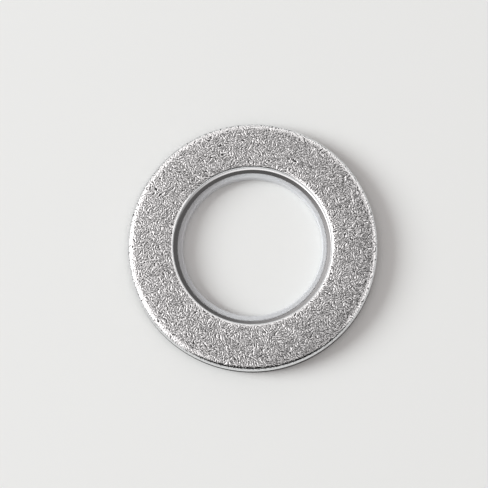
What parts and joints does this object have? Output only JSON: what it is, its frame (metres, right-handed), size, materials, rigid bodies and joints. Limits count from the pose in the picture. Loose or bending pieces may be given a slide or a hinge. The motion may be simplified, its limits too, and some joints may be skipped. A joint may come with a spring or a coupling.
{
  "type": "curtain eyelet ring",
  "caption": "Round two-part snap eyelet for a curtain heading, with a crinkle-textured silver face, a polished shoulder and a white low-friction liner in its bore.",
  "frame": {"origin": "on the ring's axis, in the plane that the back ring rests on", "axes": "+Z along the ring's axis, out of the textured face; the eyelet lies on its back ring with its face up"},
  "size_m": [0.067, 0.067, 0.006],
  "materials": {
    "plated_front": "moulded plastic with a bright silver metal coat, fine crinkle texture on the face, polished shoulder and lip",
    "white_liner": "slightly translucent white low-friction plastic",
    "grey_back": "moulded dark grey plastic, satin"
  },
  "bodies": {
    "back": {"back_ring": "grey_back"},
    "front": {"front_ring": "plated_front", "silent_liner": "white_liner"}
  },
  "joints": [
    {"name": "snap_slide", "type": "slide", "parent": "back", "child": "front", "axis": [0, 0, 1], "range_m": [0, 0.012]}
  ]
}
